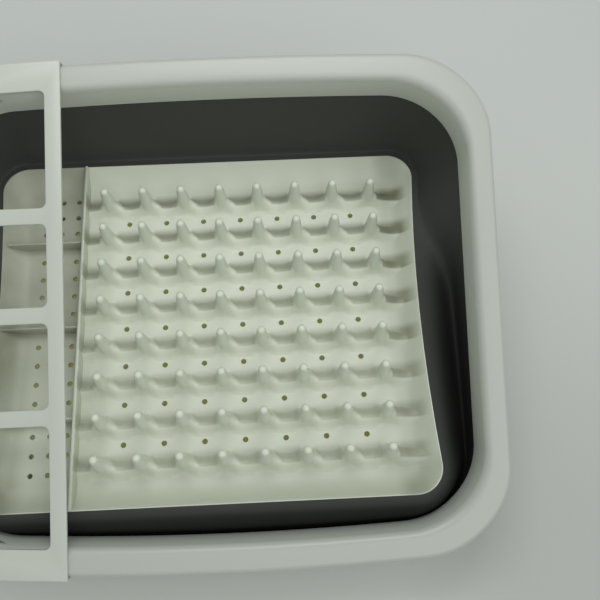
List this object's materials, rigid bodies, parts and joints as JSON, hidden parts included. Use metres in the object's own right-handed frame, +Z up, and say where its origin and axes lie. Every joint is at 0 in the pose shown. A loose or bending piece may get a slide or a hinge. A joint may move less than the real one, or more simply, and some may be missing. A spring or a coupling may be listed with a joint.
{
  "type": "collapsible dish drying rack",
  "caption": "Folding dish rack with a pegged draining tray, a flexible dark wall, a white rim and a lift-off cutlery grid, far side popped up and near side folded down.",
  "frame": {"origin": "middle of the underside of the bounding box, on the table under the feet", "axes": "+Z up, +X along the rack away from the cutlery bay, +Y to the side that is popped up"},
  "size_m": [0.3594, 0.3008, 0.1431],
  "materials": {
    "white": "satin",
    "rim_white": "satin",
    "dark_rubber": "matte",
    "foot_rubber": "matte"
  },
  "bodies": {
    "base": {"base_tray": "white", "base_skirt": "white", "cutlery_divider": "white", "partition_1": "white", "partition_2": "white", "partition_3": "white", "peg_row_1": "white", "peg_row_2": "white", "peg_row_3": "white", "peg_row_4": "white", "peg_row_5": "white", "peg_row_6": "white", "peg_row_7": "white", "peg_row_8": "white", "foot_1": "foot_rubber", "foot_2": "foot_rubber", "foot_3": "foot_rubber", "foot_4": "foot_rubber"},
    "wall": {"lower_fold": "dark_rubber", "upper_wall": "dark_rubber"},
    "rim": {"rim_frame": "rim_white"},
    "grid": {"cutlery_grid": "rim_white"}
  },
  "joints": [
    {"name": "near_side_rise", "type": "hinge", "parent": "base", "child": "wall", "pos_m": [0, 0.13429, 0.08425], "axis": [-1, 0, 0], "range_deg": [0, 16.8], "deforming": ["lower_fold", "upper_wall"]},
    {"name": "far_side_fold", "type": "hinge", "parent": "wall", "child": "rim", "pos_m": [0, -0.13218, 0.0449], "axis": [-1, 0, 0], "range_deg": [0, 16.8], "deforming": ["lower_fold", "upper_wall"]},
    {"name": "grid_lift", "type": "slide", "parent": "rim", "child": "grid", "axis": [0, -0.289, 0.9573], "range_m": [0, 0.08]}
  ]
}
